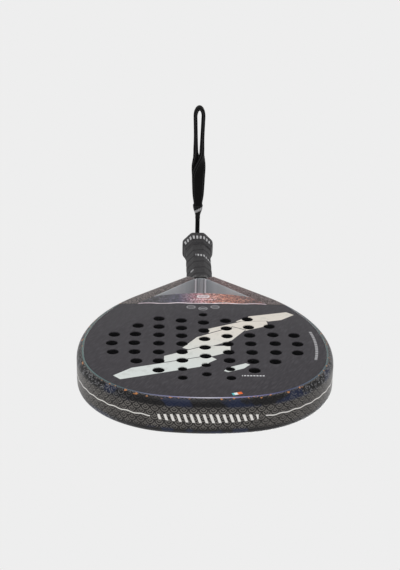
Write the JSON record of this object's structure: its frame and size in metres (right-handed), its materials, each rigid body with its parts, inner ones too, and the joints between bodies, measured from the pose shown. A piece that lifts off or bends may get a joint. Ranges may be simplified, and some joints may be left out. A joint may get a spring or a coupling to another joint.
{
  "type": "padel racket",
  "caption": "Teardrop-headed padel racket with a perforated foam core between two faces, an open throat, a wrapped octagonal grip and a swinging wrist strap.",
  "frame": {"origin": "the point where the hand holds the racket, on the handle's axis, 70 mm from the butt's end", "axes": "+Y along the handle from the tip towards the butt, +X across the head, +Z out of the back face; the front face looks along -Z and the wrist strap hangs along -Z"},
  "size_m": [0.26, 0.4765, 0.1969],
  "materials": {
    "frame_carbon": "clear-coated composite with a fine printed texture",
    "face_laminate": "satin lacquered laminate with a pale diagonal graphic",
    "eva_foam": "closed-cell foam, matt",
    "bridge_gloss": "sparkle lacquer running from navy through pink to orange",
    "throat_silver": "silver-grey lacquer",
    "handle_foam": "rigid moulded foam",
    "cap_plastic": "moulded plastic",
    "base_grip_rubber": "cushioned grip tape",
    "overgrip_fabric": "matt charcoal wrap with overlapping edges",
    "collar_rubber": "glossy finishing band",
    "cord_black": "braided cord",
    "joint_rubber": "moulded rubber with a pale band",
    "strap_fabric": "padded woven band with edge seams"
  },
  "bodies": {
    "racket": {"frame_tube": "frame_carbon", "face_front": "face_laminate", "face_back": "face_laminate", "foam_core": "eva_foam", "throat_bridge": "bridge_gloss", "throat_filler": "throat_silver", "handle_core": "handle_foam", "butt_cap": "cap_plastic", "base_grip": "base_grip_rubber", "overgrip": "overgrip_fabric", "grip_collar": "collar_rubber", "cord_knot": "cord_black", "cord_root_left": "cord_black", "cord_root_right": "cord_black"},
    "wrist_cord": {"wrist_cord_left": "cord_black", "wrist_cord_right": "cord_black"},
    "wrist_strap": {"strap_joint": "joint_rubber", "wrist_strap": "strap_fabric"}
  },
  "joints": [
    {"name": "cord_swing", "type": "hinge", "parent": "racket", "child": "wrist_cord", "pos_m": [0, 0.083, 0], "axis": [1, 0, 0], "range_deg": [-28, 180]},
    {"name": "strap_swing", "type": "hinge", "parent": "wrist_cord", "child": "wrist_strap", "pos_m": [0, 0.083, -0.0355], "axis": [0, 1, 0], "range_deg": [-50, 50]}
  ]
}
